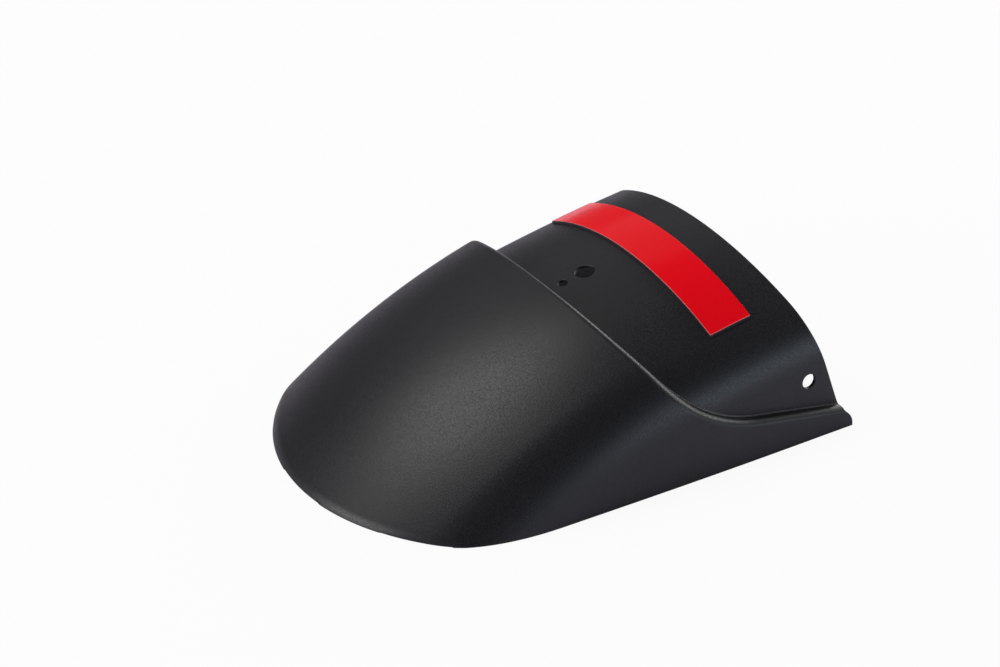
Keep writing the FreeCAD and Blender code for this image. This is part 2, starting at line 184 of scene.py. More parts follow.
COVER_CROWN = 129.6
COVER_SHOULDER = 32.4
TONGUE_CROWN = 121.6
TONGUE_SHOULDER = 29.0
COVER = Arch(AXLE_Y, -AXLE_DROP, COVER_RADIUS, COVER_CROWN, COVER_SHOULDER, HALF_WIDTH)
TONGUE = Arch(FAR_Y, FAR_Z, TONGUE_RADIUS, TONGUE_CROWN, TONGUE_SHOULDER, HALF_WIDTH - TONGUE_INSET)
print("cover's crown at the step:", COVER.point(0.0, math.atan2(STEP_Y - AXLE_Y, STEP_Z + AXLE_DROP)))
print("half of the cover's section to the wall: %.1f mm" % COVER.wall_start)

# %% [markdown]
# ## The step line
# Seen from the side the step falls straight from the crown, bends through an arc, and runs on along a
# narrow strip to the tail. It is the same line all the way across, so the riser is that line carried
# sideways. A Bezier curve could draw it, but two straights and an arc are what a mould is cut from, and one
# number, the distance down the line, gives the place and the direction.

# %% The step line and the rear outline in the side view
FALL = math.radians(53.0)
STRIP_FALL = math.radians(10.6)
BEND = 69.0
STRIP_HEIGHT = 9.0
RAKE = math.radians(18.8)
TAIL_REACH = 1.2
TAIL_LAND = 1.0
TAIL_ROUND = 7.0
TAIL_EASE = 0.6
REAR_Y = TAIL_Y - TAIL_REACH

step_top = np.array([STEP_Y, STEP_Z])
strip_end = np.array([REAR_Y - STRIP_HEIGHT * math.tan(RAKE), STRIP_HEIGHT])
fall_way = np.array([math.cos(FALL), -math.sin(FALL)])
strip_way = np.array([math.cos(STRIP_FALL), -math.sin(STRIP_FALL)])
to_meet, back_from_end = np.linalg.solve(np.stack([fall_way, strip_way], axis=1), strip_end - step_top)
TANGENT = BEND * math.tan((FALL - STRIP_FALL) / 2)
BEND_START = to_meet - TANGENT
BEND_STOP = BEND_START + BEND * (FALL - STRIP_FALL)
STEP_END = BEND_STOP + back_from_end - TANGENT


def step_line(run, depth=0.0):
    """Side-view place and outward direction: a straight fall, an arc, a straight strip, as run grows."""
    heading = np.clip(FALL - (run - BEND_START) / BEND, STRIP_FALL, FALL)
    middle = step_top + BEND_START * fall_way + BEND * np.array([math.sin(FALL), math.cos(FALL)])
    out = np.stack([np.sin(heading), np.cos(heading)], axis=-1)
    straight = np.minimum(run - BEND_START, 0)[..., None] * fall_way
    strip = np.maximum(run - BEND_STOP, 0)[..., None] * strip_way
    return middle - (BEND + depth) * out + straight + strip, out


def rear_outline(height):
    """How far back the tail reaches at each height: upright, then an arc, then the raked rear edge.

    Where the arc meets the raked edge, the logarithm of their exponentials' sum eases one into the other.
    """
    raked = REAR_Y - height * math.tan(RAKE)
    rise = np.clip(height - TAIL_LAND, 0, TAIL_ROUND)
    arc = TAIL_Y - TAIL_ROUND + np.sqrt(TAIL_ROUND ** 2 - rise ** 2)
    eased = TAIL_EASE * np.logaddexp(arc / TAIL_EASE, raked / TAIL_EASE)
    return np.minimum(eased, TAIL_Y)


print("step line %.1f mm long, bend from %.1f to %.1f" % (STEP_END, BEND_START, BEND_STOP))

# %% [markdown]
# ## Columns of the skin
# The shell has an outer and an inner skin. Each is one grid: its columns start on the foot, climb the
# cover, go over the ridge and down the riser, and run along the tongue to the rear edge. From column to
# column they walk from the right tail over the crown to the left tail. Every column passes four curves: the
# foot, the ridge, the root and the rear edge. They could be picked by eye, but each one is where two known
# surfaces meet, so it is looked up in a fine table of places. The ridge comes first.

# %% Ridge of the step
COLUMNS = 221
FINE = 4001
LINE_SPARE = 4 * STEP_DROP
share = np.linspace(0.0, 1.0, COLUMNS)


def lengths(points):
    """Length along a curve up to each of its points."""
    steps = np.linalg.norm(np.diff(points, axis=0), axis=1)
    return np.concatenate([[0.0], np.cumsum(steps)])


def at_shares(shares, length, *values):
    """Values along a curve at given shares of its length."""
    return [np.interp(shares, length / length[-1], value) for value in values]


def riser(across, run, depth=0.0):
    """Places on the riser: the step line carried sideways."""
    place, _ = step_line(run, depth)
    return np.concatenate([across[..., None], place], axis=-1)


def step_edge(arch, depth):
    """Where an arch meets the riser: the arch and the step line have the same height over the axle.

    The line starts a spare length above the cover's crown, so that it crosses either arch.
    """
    run = np.linspace(-LINE_SPARE, STEP_END, FINE)
    line, _ = step_line(run, depth)
    height = np.hypot(*(line - arch.axle).T)
    end = arch.along_at(height[-1], depth)
    along = np.linspace(end, -end, FINE)
    across, tall, _, _ = arch.section(along, depth)
    run = np.interp(-tall, -height, run)
    return at_shares(share, lengths(riser(across, run, depth)), along, run)


ridge_along, ridge_run = step_edge(COVER, 0.0)
ridge = riser(COVER.section(ridge_along)[0], ridge_run)
ridge_top = ridge[COLUMNS // 2]
print("ridge %.1f mm long, from %s over %s" % (lengths(ridge)[-1], ridge[0].round(2), ridge_top.round(2)))

# %% [markdown]
# ## The foot
# The foot is the line on which the part stands. Along each side it follows the cover's wall, and round the
# nose it follows the arc of an upright edge. It could be drawn by hand, but both lines follow from sizes:
# the wall is cut at the floor, and a place on the nose is told by its plan angle, which is measured round
# the middle of the arc from straight ahead. Near the corner between the two the columns stand closer.

# %% Foot of the cover
NOSE_ROUND = 86.4
NOSE_SPARE = 0.4
NOSE_FLARE = math.radians(65.0)
NOSE_MIDDLE = NOSE_Y - NOSE_SPARE + NOSE_ROUND
TAIL_TURN = math.atan2(TAIL_Y - AXLE_Y, AXLE_DROP)
CORNER_ROOM = 5.0
CORNER_CROWD = 2.0
CORNER_SEARCH = 0.7
half_share = 1.0 - np.abs(1.0 - 2.0 * share)
half_side = np.where(share > 0.5, -1.0, 1.0)


def plan_angle(points):
    """Angle from straight ahead, round the middle of the nose's arc."""
    return np.arctan2(np.abs(points[..., 0]), NOSE_MIDDLE - points[..., 1])


def nose_edge(angle):
    """Foot of the upright edge at a plan angle."""
    across = NOSE_ROUND * np.sin(angle)
    return np.stack([across, NOSE_MIDDLE - NOSE_ROUND * np.cos(angle), np.zeros_like(angle)], axis=-1)


def upright_edge(angle):
    """Height of the upright edge: from the floor to the cover over it."""
    foot = nose_edge(angle)
    along = np.linspace(0.0, COVER.wall_start + HALF_WIDTH, FINE)
    across, height, _, _ = COVER.section(along)
    over = np.interp(foot[..., 0], across, height)
    return np.sqrt(over ** 2 - (foot[..., 1] - AXLE_Y) ** 2) - AXLE_DROP


angles = np.linspace(NOSE_FLARE, CORNER_SEARCH * NOSE_FLARE, FINE)
corner_angle = np.interp(0.0, upright_edge(angles), angles)
corner_turn = math.atan2(nose_edge(corner_angle)[1] - AXLE_Y, AXLE_DROP)
side_turn = np.linspace(TAIL_TURN, corner_turn, FINE)
side_along = COVER.along_at(AXLE_DROP / np.cos(side_turn))
side_foot = COVER.point(side_along, side_turn)
nose_angle = np.linspace(corner_angle, 0.0, FINE)[1:]
nose_rise = upright_edge(nose_angle)
nose_foot = nose_edge(nose_angle)
nose_along, nose_turn = COVER.place(nose_foot + nose_rise[:, None] * np.array([0.0, 0.0, 1.0]))

foot_length = lengths(np.concatenate([side_foot, nose_foot]))
corner_near = np.exp(-((foot_length - foot_length[FINE]) / CORNER_ROOM) ** 2)
density = np.cumsum(np.diff(foot_length, prepend=0.0) * (1.0 + CORNER_CROWD * corner_near))
foot_along, foot_turn, foot_rise, foot_angle = at_shares(
    half_share, density,
    np.concatenate([side_along, nose_along]), np.concatenate([side_turn, nose_turn]),
    np.concatenate([np.zeros(FINE), nose_rise]), np.concatenate([plan_angle(side_foot), nose_angle]))
foot_along = foot_along * half_side
print("foot %.1f mm from tail to nose tip, corner at %s" % (foot_length[-1], nose_foot[0].round(2)))
print("upright edge up to %.2f mm high, %.2f at the tip" % (nose_rise.max(), nose_rise[-1]))


def inner_foot():
    """Foot of the inner skin: the cover at one wall's depth, cut at the floor, at the same plan angles."""
    tip = -np.arccos(AXLE_DROP / (COVER_RADIUS - WALL))
    turn = tip + (TAIL_TURN - tip) * np.linspace(1.0, 0.0, FINE) ** 2
    along = COVER.along_at(AXLE_DROP / np.cos(turn), WALL)
    angle = plan_angle(COVER.point(along, turn, WALL))
    along, turn = [np.interp(foot_angle, angle[::-1], value[::-1]) for value in (along, turn)]
    return along * half_side, turn


# %% [markdown]
# ## Rounded folds
# The ridge and the root of the step are rounded as a ball would roll along them: the ball's middle lies
# its own radius from both faces, and the fold is the arc between the two touching points. A negative
# radius rolls the ball outside, in the root's corner. On the moulding the ridge is crisper over the crown
# and softest where the step bends, so its ball grows and shrinks with the height. A Bevel modifier with a
# weight on each edge could do it too, but here each radius is a plain size in millimetres. A bigger ball
# rounds the nose's rim. There the points of the two faces are pushed in, by the depth of the arc under the
# face, because the rim runs out at the corners of the foot.

# %% Arcs and pushes
RIDGE_ROUNDS = (2.6, 3.0, 4.0, 3.3, 2.3)
ROUND_HEIGHTS = (12.0, 24.0, 40.0, 52.0, 58.0)
ROOT_ROUND = 0.7
INNER_ROUND = 0.4
RIM_ROUND = 10.0
EDGE_ROUND = 0.35
FOLD_ROWS = 8
EDGE_ROWS = 3
TINY = 1e-6
NEARLY_ALL = 0.999
print("ridge rounded by %.1f to %.1f mm, rim by %.1f mm" % (min(RIDGE_ROUNDS), max(RIDGE_ROUNDS), RIM_ROUND))


def fold(corner, first, second, size):
    """Arc between two faces: the ball's middle, plus its radius along normals that turn evenly."""
    agree = (first * second).sum(axis=-1, keepdims=True)
    middle = corner - size * (first + second) / (1.0 + agree)
    angle = np.arccos(np.clip(agree, -1.0, 1.0))
    part = np.linspace(0.0, 1.0, FOLD_ROWS)[:, None, None]
    turned = (np.sin((1.0 - part) * angle) * first + np.sin(part * angle) * second) / np.sin(angle)
    return middle + size * turned


def arc_depth(away, agree, size):
    """Depth of the rounding under a face, at a distance from the sharp corner.

    The arc touches the face at size times the tangent of half the angle between the normals.
    """
    angle = np.arccos(np.clip(agree, -1.0, 1.0))
    slant = away / np.maximum(np.sin(angle), TINY)
    short = np.clip(size * np.tan(angle / 2) - slant, 0.0, NEARLY_ALL * size)
    return size - np.sqrt(size ** 2 - short ** 2)


def unit(vectors):
    """Vectors of length one."""
    return vectors / np.linalg.norm(vectors, axis=-1, keepdims=True)


def nose_normal(points):
    """Outward direction of the upright edge beside each point, and the distance inside it."""
    angle = np.minimum(plan_angle(points), NOSE_FLARE)
    side = np.where(points[..., 0] < 0, -1.0, 1.0)
    out = np.stack([side * np.sin(angle), -np.cos(angle), np.zeros_like(angle)], axis=-1)
    middle = np.array([0.0, NOSE_MIDDLE, 0.0])
    return out, NOSE_ROUND - ((points - middle) * out).sum(axis=-1)


# %% [markdown]
# ## The two skins
# A skin stacks the rows of all columns: the foot's small edge, the cover, the ridge's arc, the riser, the
# root's arc, the tongue and the rear edge. Between two curves a column is a straight line in the arch's
# own two numbers, so all of its points lie on the arch. The inner skin is the same function one wall
# deeper, which is how the wall of a moulding follows its outside. A Solidify modifier could thicken the
# outer skin, but the foot wouldn't stay flat on the floor.

# %% Rows of a skin
def shares_of(*spacing):
    """Shares from 0 to 1 whose steps have the given spacings."""
    return np.concatenate([[0.0], np.cumsum(np.concatenate(spacing))]) / np.concatenate(spacing).sum()


# The rows stand close at the rim and at the step, and wide apart over the cover.
RIM_STEP = 0.4
COVER_STEP = 4.0
COVER_ROWS = shares_of(
    np.full(18, RIM_STEP), np.geomspace(RIM_STEP, COVER_STEP, 13),
    np.full(14, COVER_STEP), np.geomspace(COVER_STEP, RIM_STEP, 9))
# Over the tongue they are even, and closer at both ends.
END_STEP = 0.3
TONGUE_STEP = 0.9
TONGUE_ROWS = shares_of(
    np.geomspace(END_STEP, TONGUE_STEP, 5), np.full(72, TONGUE_STEP), np.geomspace(TONGUE_STEP, END_STEP, 5))
RISER_ROWS = np.array([0.15, 0.4, 0.6, 0.85])
TAIL_BLEND = 25.0
DOWN = np.array([0.0, 0.0, -1.0])


def step_rows(depth, ridge_size, root_size):
    """Rows of the ridge's arc, the riser and the root's arc."""
    edges = []
    for arch, size in ((COVER, ridge_size), (TONGUE, -root_size)):
        along, run = step_edge(arch, depth)
        corner = riser(arch.section(along, depth)[0], run, depth)
        face = arch.normal(along, arch.place(corner)[1])
        _, out = step_line(run, depth)
        level = np.concatenate([np.zeros((COLUMNS, 1)), out], axis=-1)
        way = np.stack([np.zeros(COLUMNS), out[:, 1], -out[:, 0]], axis=-1)
        pair = (face, level) if arch is COVER else (level, face)
        arc = fold(corner, *pair, size)
        touch = arc[-1] if arch is COVER else arc[0]
        edges.append((arc, touch[:, 0], run + ((touch - corner) * way).sum(axis=-1)))
    (over, from_across, from_run), (under, to_across, to_run) = edges
    part = RISER_ROWS[:, None]
    across = from_across + part * (to_across - from_across)
    run = from_run + part * (to_run - from_run)
    return np.concatenate([over, riser(across, run, depth), under])


def cover_rows(depth, top):
    """Rows from the foot to the ridge, with the upright edge and the rounded rim on the outer skin."""
    is_outer = depth == 0
    along, turn = (foot_along, foot_turn) if is_outer else inner_foot()
    rise = foot_rise if is_outer else np.zeros(COLUMNS)
    start = EDGE_ROUND if is_outer else 0.0
    top_along, top_turn = COVER.place(top)
    climb = np.linalg.norm(COVER.point(along, turn, depth) - top, axis=-1)
    way = start + COVER_ROWS[:, None] * (rise + climb - start)
    part = np.clip((way - rise) / climb, 0.0, 1.0)
    on_along = along + part * (top_along - along)
    on_turn = turn + part * (top_turn - turn)
    skin = COVER.point(on_along, on_turn, depth)
    if not is_outer:
        return skin
    face = COVER.normal(on_along, on_turn)
    upright = way < rise
    edge = nose_edge(np.broadcast_to(foot_angle, way.shape))
    edge[..., 0] *= half_side
    edge[..., 2] = way
    skin = np.where(upright[..., None], edge, skin)
    out, inside = nose_normal(skin)
    agree = (face * out).sum(axis=-1)
    under = -COVER.distance(skin)
    push = np.where(upright, arc_depth(under, agree, RIM_ROUND), arc_depth(inside, agree, RIM_ROUND))
    skin = skin - push[..., None] * np.where(upright[..., None], out, face)
    level = unit(np.where(upright[0][:, None], out[0], face[0]) * np.array([1.0, 1.0, 0.0]))
    angle = np.linspace(math.pi / 2, 0.0, EDGE_ROWS + 1)[:EDGE_ROWS, None, None]
    small = skin[0] + EDGE_ROUND * (level * (np.cos(angle) - 1.0) + DOWN * np.sin(angle))
    skin = np.concatenate([small, skin])
    skin[..., 2] = np.maximum(skin[..., 2], 0.0)
    return skin


def tongue_rows(depth, start):
    """Rows from the root to the rear edge, whose corner is rounded."""
    from_along, from_turn = TONGUE.place(start)
    along = np.linspace(from_along[0], from_along[-1], FINE)
    height = TONGUE.section(along, depth)[1]
    reach = REAR_Y - FAR_Y - FAR_Z * math.tan(RAKE)
    turn = np.arcsin(reach * math.cos(RAKE) / height) - RAKE
    to_along, to_turn = at_shares(share, lengths(TONGUE.point(along, turn, depth)), along, turn)
    stop = to_turn - EDGE_ROUND / TONGUE_RADIUS
    part = TONGUE_ROWS[1:, None]
    along = from_along + part * (to_along - from_along)
    skin = TONGUE.point(along, from_turn + part * (stop - from_turn), depth)
    face = TONGUE.normal(to_along, stop) * (1.0 if depth == 0 else -1.0)
    back = unit(np.cross(face, np.gradient(skin[-1], axis=0)))
    back = np.where(back[:, 1:2] < 0, -back, back)
    angle = np.linspace(0.0, math.pi / 2, EDGE_ROWS + 1)[1:, None, None]
    small = skin[-1] + EDGE_ROUND * (face * (np.cos(angle) - 1.0) + back * np.sin(angle))
    return np.concatenate([skin, small])


def make_skin(depth, ridge_size, root_size):
    """Rows of one skin, its tail set on the rear outline, and the count of rows before the tongue."""
    step = step_rows(depth, ridge_size, root_size)
    below = cover_rows(depth, step[0])
    if depth > 0:
        below = np.concatenate([np.repeat(below[:1], EDGE_ROWS, axis=0), below])
    front = np.concatenate([below, step[1:]])
    walked = np.minimum(share, 1.0 - share) * lengths(ridge)[-1]
    fade = np.clip(1.0 - walked / TAIL_BLEND, 0.0, 1.0) ** 2
    right, left = [(rear_outline(front[:, end, 2]) - front[:, end, 1])[:, None] for end in (0, -1)]
    front[..., 1] += fade * np.where(share < 0.5, right, left)
    return np.concatenate([front, tongue_rows(depth, front[-1])]), len(front)


ridge_round = np.interp(ridge[:, 2:], ROUND_HEIGHTS, RIDGE_ROUNDS)
outer, tongue_start = make_skin(0.0, ridge_round, ROOT_ROUND)
inner, _ = make_skin(WALL, INNER_ROUND, ROOT_ROUND)
print("skins of %d rows by %d columns, tongue from row %d" % (*outer.shape[:2], tongue_start))
print("outer skin from %s to %s" % (outer.min(axis=(0, 1)).round(3), outer.max(axis=(0, 1)).round(3)))
print("inner skin from %s to %s" % (inner.min(axis=(0, 1)).round(3), inner.max(axis=(0, 1)).round(3)))

# %% [markdown]
# ## The shell as one closed mesh
# Faces are written as numbers of points. A grid of numbers gives the faces between its neighbours, so
# each skin, the foot, the rear edge and the two tail ends are all grids. At the tails the tongue narrows
# to nothing, and there several places of a grid hold the same number. A hole could be cut by a Boolean
# modifier, which leaves long thin faces that shade badly. Here a block of the grid is left out, and rings
# run from the block's border to the rim, through the wall and out again inside.

# %% Grids of numbers
rows, columns = outer.shape[:2]
outer_numbers = np.arange(rows * columns).reshape(rows, columns)
inner_numbers = outer_numbers + rows * columns
for numbers in (outer_numbers, inner_numbers):
    numbers[tongue_start:, [0, -1]] = numbers[tongue_start - 1, [0, -1]]
inner_numbers[:EDGE_ROWS] = inner_numbers[EDGE_ROWS]
print("points numbered up to %d before the holes" % inner_numbers.max())


def sheet(numbers):
    """Four corners of each face of a grid.

    A face points towards the rows' way crossed with the columns' way.
    """
    return np.stack([numbers[:-1, :-1], numbers[1:, :-1], numbers[1:, 1:], numbers[:-1, 1:]], axis=-1)


# %% Holes
BORE_EDGE = 0.3
BORE_ROOM = 1.0
BORE_REACH = 4
BORE_PARTS = (1 / 3, 2 / 3)
SETTLE_ROUNDS = 6
PILOT_BACK = 12.1
PILOT_SIZE = 2.0
CROWN_BORE_BACK = 22.3
CROWN_BORE_SIZE = 4.0
SIDE_BORE_Z = 23.4
SIDE_BORE_INSET = 9.7
SIDE_BORE_SIZE = 3.0
SIDE_BORE_Y = REAR_Y - SIDE_BORE_Z * math.tan(RAKE) - SIDE_BORE_INSET


def settle(points, axis, depth):
    """Points slid along a hole's axis until they lie at a depth under the tongue's surface."""
    for _ in range(SETTLE_ROUNDS):
        points = points - (TONGUE.distance(points) + depth)[..., None] * axis
    return points


def bore_rings(middle, axis, size):
    """Block of the grid round a hole, and the rings of points that line the hole.

    Ring points lie on circles round the axis: a rounded rim, the wall, and a small inner rim.
    """
    away = outer - middle
    off = away - (away @ axis)[..., None] * axis
    in_line = np.linalg.norm(off, axis=-1) < size + BORE_ROOM
    close_by = np.linalg.norm(away, axis=-1) < BORE_REACH * size
    row, column = np.nonzero(in_line & close_by)
    low, high = row.min() - 1, row.max() + 1
    left, right = column.min() - 1, column.max() + 1
    up, side = np.arange(low, high), np.arange(left, right)
    around = (np.concatenate([up, np.full(len(side), high), up[::-1] + 1, np.full(len(side), low)]),
              np.concatenate([np.full(len(up), left), side, np.full(len(up), right), side[::-1] + 1]))
    out = unit(off[around])

    def circle(radius, depth):
        """Ring of points at a radius from the axis and a depth under the surface."""
        return settle(middle + radius * out, axis, depth)

    turn = np.linspace(0.0, math.pi / 2, EDGE_ROWS + 1)
    rim = [circle(size + BORE_EDGE * (1 - math.sin(a)), BORE_EDGE * (1 - math.cos(a))) for a in turn]
    end = [circle(size, WALL - BORE_EDGE / 2), circle(size + BORE_EDGE / 2, WALL)]
    before = [settle(outer[around] + part * (rim[0] - outer[around]), axis, 0.0) for part in BORE_PARTS]
    after = [settle(end[1] + part * (inner[around] - end[1]), axis, WALL) for part in BORE_PARTS]
    return (low, high, left, right), around, np.stack(before + rim + end + after)


def on_crown(back):
    """Middle and axis of a hole that stands square on the tongue's crown, a distance behind the step."""
    turn = math.asin((STEP_Y + back - FAR_Y) / TONGUE_RADIUS)
    return TONGUE.point(0.0, turn), TONGUE.normal(0.0, turn)


side_height = math.hypot(SIDE_BORE_Y - FAR_Y, SIDE_BORE_Z - FAR_Z)
side_across = float(TONGUE.section(TONGUE.along_at(side_height))[0])
holes = [(*on_crown(PILOT_BACK), PILOT_SIZE), (*on_crown(CROWN_BORE_BACK), CROWN_BORE_SIZE)]
for side in (1.0, -1.0):
    place = np.array([side * side_across, SIDE_BORE_Y, SIDE_BORE_Z])
    holes.append((place, np.array([side, 0.0, 0.0]), SIDE_BORE_SIZE))

shell_points = [outer.reshape(-1, 3), inner.reshape(-1, 3)]
shell_faces = []
whole = np.ones((rows - 1, columns - 1), dtype=bool)
count = 2 * rows * columns
for middle, axis, size in holes:
    (low, high, left, right), around, rings = bore_rings(middle, axis, size)
    whole[low:high, left:right] = False
    ring_numbers = count + np.arange(rings[..., 0].size).reshape(rings.shape[:2])
    through = np.concatenate([outer_numbers[around][None], ring_numbers, inner_numbers[around][None]])
    through = np.concatenate([through, through[:, :1]], axis=1)
    shell_faces.append(sheet(through)[..., ::-1])
    shell_points.append(rings.reshape(-1, 3))
    count += ring_numbers.size
    print("hole of %.0f mm at %s with %d points round it" % (2 * size, middle.round(2), rings.shape[1]))

# %% Put the shell together
SHARP = math.radians(40.0)


def add_object(name, data):
    """New object in the scene, from a mesh, a lamp or a camera."""
    made = bpy.data.objects.new(name, data)
    bpy.context.scene.collection.objects.link(made)
    return made


def make_piece(name, points, faces):
    """Closed mesh from points in millimetres and grids of faces, smooth but for its sharp edges.

    A face that two equal neighbouring corners pinch becomes a triangle, and one that is pinched twice
    is left out. Points that no face uses are left out too.
    """
    quads = np.concatenate([grid.reshape(-1, 4) for grid in faces])
    equal = quads == np.roll(quads, -1, axis=1)
    pinches = equal.sum(axis=1)
    pinched = quads[pinches == 1]
    turned = (equal[pinches == 1].argmax(axis=1)[:, None] + np.arange(1, 4)) % 4
    corners = [quads[pinches == 0], np.take_along_axis(pinched, turned, axis=1)]
    used, corner = np.unique(np.concatenate([c.ravel() for c in corners]), return_inverse=True)
    sides = np.concatenate([np.full(len(c), c.shape[1]) for c in corners])
    mesh = bpy.data.meshes.new(name)
    mesh.vertices.add(len(used))
    mesh.vertices.foreach_set("co", (points[used] * MM).ravel())
    mesh.loops.add(len(corner))
    mesh.loops.foreach_set("vertex_index", corner.astype(np.int32))
    mesh.polygons.add(len(sides))
    mesh.polygons.foreach_set("loop_start", (np.cumsum(sides) - sides).astype(np.int32))
    mesh.polygons.foreach_set("use_smooth", np.ones(len(sides), dtype=bool))
    mesh.update(calc_edges=True)
    mesh.set_sharp_from_angle(angle=SHARP)
    triangles = int((sides - 2).sum())
    open_edges = 2 * len(mesh.edges) - len(corner)
    print("%s: %d points, %d triangles, %d open edges" % (name, len(used), triangles, open_edges))
    return add_object(name, mesh)


shell_faces += [
    sheet(outer_numbers)[whole],
    sheet(inner_numbers)[whole][..., ::-1],
    sheet(np.stack([inner_numbers[0], outer_numbers[0]])),
    sheet(np.stack([outer_numbers[-1], inner_numbers[-1]])),
    sheet(np.stack([outer_numbers[:, 0], inner_numbers[:, 0]])),
    sheet(np.stack([inner_numbers[:, -1], outer_numbers[:, -1]])),
]
shell = make_piece("moulded_shell", np.concatenate(shell_points), shell_faces)
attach(shell, "root")
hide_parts("extender_shell")

# %% [markdown]
# ## Tape and liner
# The tape is a strip of closed-cell foam, stuck square across the crown of the tongue, and the liner is a
# thin film on it that peels off before fitting. A Shrinkwrap modifier could lay flat slabs on the tongue,
# but a formula keeps their thickness. Both are a flat profile carried across the tongue: width and lift of
# the profile, and the distance across. A strip laid straight keeps to a plane through the far axle, so the
# ends of a strip that looks square on the crown swing back a little, seen from above.

# %% Strips over the tongue
TAPE_Y = 54.745
TAPE_WIDTH = 19.0
FOAM = 1.0
FILM = 0.12
TAPE_HALF_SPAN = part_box("adhesive_tape")[1][0] / MM
TAPE_TURN = math.asin((TAPE_Y - FAR_Y) / TONGUE_RADIUS)
STRIP_COLUMNS = 121
FLAT_ROWS = 20
BORDER = 0.4


def strip_point(across, width, lift):
    """Place over the tongue: a lift above its crown arc, and a width beside the tape's middle plane."""
    size = TONGUE.crown + lift
    height = TONGUE.crown_height + np.sqrt(size ** 2 - across ** 2)
    turn = TAPE_TURN + np.arcsin(width / height)
    swung = (FAR_Y + height * np.sin(turn), FAR_Z + height * np.cos(turn))
    return np.stack(np.broadcast_arrays(across, *swung), axis=-1)


def make_strip(name, bottom, top, edge):
    """Slab from one lift to another, with the long upper edges rounded, and both ends closed.

    Its points carry a number, the mask of a painted highlight on the cut edge: 1 on the front edge, on the
    ends and below, and 0 elsewhere.
    """
    angle = np.linspace(0.0, math.pi / 2, EDGE_ROWS + 1)
    half = TAPE_WIDTH / 2
    corner = -half + edge * (1.0 - np.cos(angle))
    flat = np.linspace(-half + BORDER, half - BORDER, FLAT_ROWS)
    width = np.concatenate([corner, flat, -corner[::-1]])
    round_off = edge * (1.0 - np.sin(angle))
    lift = top - np.concatenate([round_off, np.zeros(FLAT_ROWS), round_off[::-1]])
    between = np.linspace(TAPE_HALF_SPAN - BORDER, BORDER - TAPE_HALF_SPAN, STRIP_COLUMNS - 2)
    across = np.concatenate([[TAPE_HALF_SPAN], between, [-TAPE_HALF_SPAN]])
    upper = strip_point(across, width[:, None], lift[:, None])
    lower = strip_point(across, width[::-1, None], np.full((len(width), 1), bottom))
    points = np.concatenate([upper, lower])
    numbers = np.arange(points[..., 0].size).reshape(points.shape[:2])
    over, under = numbers[:len(width)], numbers[len(width):][::-1]
    faces = [
        sheet(np.concatenate([numbers, numbers[:1]])),
        sheet(np.stack([over[:, 0], under[:, 0]])),
        sheet(np.stack([under[:, -1], over[:, -1]])),
    ]
    piece = make_piece(name, points.reshape(-1, 3), faces)
    # Mask of the painted highlight on the liner's cut edge: the front edge, the ends and the underside.
    painted_edge_highlight = np.zeros(numbers.shape)
    painted_edge_highlight[:len(corner)] = 1.0
    painted_edge_highlight[len(width):] = 1.0
    painted_edge_highlight[:, [0, -1]] = 1.0
    piece.data.attributes.new("painted_edge_highlight", "FLOAT", "POINT").data.foreach_set("value", painted_edge_highlight.ravel())
    return piece


FOAM_EDGE = 0.15
FILM_EDGE = 0.04
tape = make_strip("foam_tape", 0.0, FOAM, FOAM_EDGE)
liner = make_strip("red_liner", FOAM, FOAM + FILM, FILM_EDGE)
for piece, node, slot in ((tape, "adhesive_tape", "tape_foam"), (liner, "release_liner", "liner_film")):
    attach(piece, "root")
    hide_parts(node)

# %% [markdown]
# ## Finishes
# A finish is a material whose colour, roughness and bump vary over the surface. The nodes could be wired
# one by one, but the maths is easier to read as Python: a wire stands for one socket, and arithmetic on
# wires adds the Math nodes. Any other node comes from one method.

# %% Wires and finishes
class Wire:
    """Output socket of a node, on which arithmetic adds Math nodes."""

    def __init__(self, finish, socket):
        self.finish = finish
        self.socket = socket

    def maths(self, operation, first, second):
        """Wire from a new Math node."""
        return self.finish.node("ShaderNodeMath", {"operation": operation}, {0: first, 1: second})

    def __add__(self, other):
        return self.maths("ADD", self, other)

    def __radd__(self, other):
        return self.maths("ADD", other, self)

    def __mul__(self, other):
        return self.maths("MULTIPLY", self, other)

    def __rmul__(self, other):
        return self.maths("MULTIPLY", other, self)


class Finish:
    """A material with a Principled shader, and the nodes that feed it."""

    def __init__(self, name, **sockets):
        self.material = bpy.data.materials.new(name)
        self.material.use_nodes = True
        self.nodes = self.material.node_tree.nodes
        self.links = self.material.node_tree.links
        self.shader = self.nodes["Principled BSDF"]
        self.feed(**sockets)

    def set(self, node, sockets):
        """Put values or wires on a node's input sockets."""
        for key, value in sockets.items():
            socket = node.inputs[key]
            if isinstance(value, Wire):
                self.links.new(value.socket, socket)
            else:
                socket.default_value = value

    def node(self, kind, settings, sockets, output=0):
        """Any node: its type, its settings, its sockets, and which of its outputs to go on with."""
        node = self.nodes.new(kind)
        for key, value in settings.items():
            setattr(node, key, value)
        self.set(node, sockets)
        return Wire(self, node.outputs[output])

    def feed(self, **sockets):
        """Wire up the shader; an underscore in a name stands for a space."""
        self.set(self.shader, {key.replace("_", " "): value for key, value in sockets.items()})

    def noise(self, cell, detail):
        """Noise from about 0 to 1 on the piece's own coordinates, in cells of a size in metres."""
        place = self.node("ShaderNodeTexCoord", {}, {}, "Object")
        return self.node("ShaderNodeTexNoise", {}, {"Vector": place, "Scale": 1.0 / cell, "Detail": detail})

    def blend(self, factor, first, second):
        """Colour between two colours."""
        return self.node("ShaderNodeMix", {"data_type": "RGBA"}, {0: factor, 6: first, 7: second}, 2)

    def bump(self, height, distance, strength):
        """Normal that a height from 0 to 1 tilts, where 1 stands for the distance in metres."""
        sockets = {"Height": height, "Distance": distance, "Strength": strength}
        return self.node("ShaderNodeBump", {}, sockets)


def dress(piece, finish):
    """Give a piece its finish."""
    piece.data.materials.clear()
    piece.data.materials.append(finish.material)
    print("%s wears %s" % (piece.name, finish.material.name))


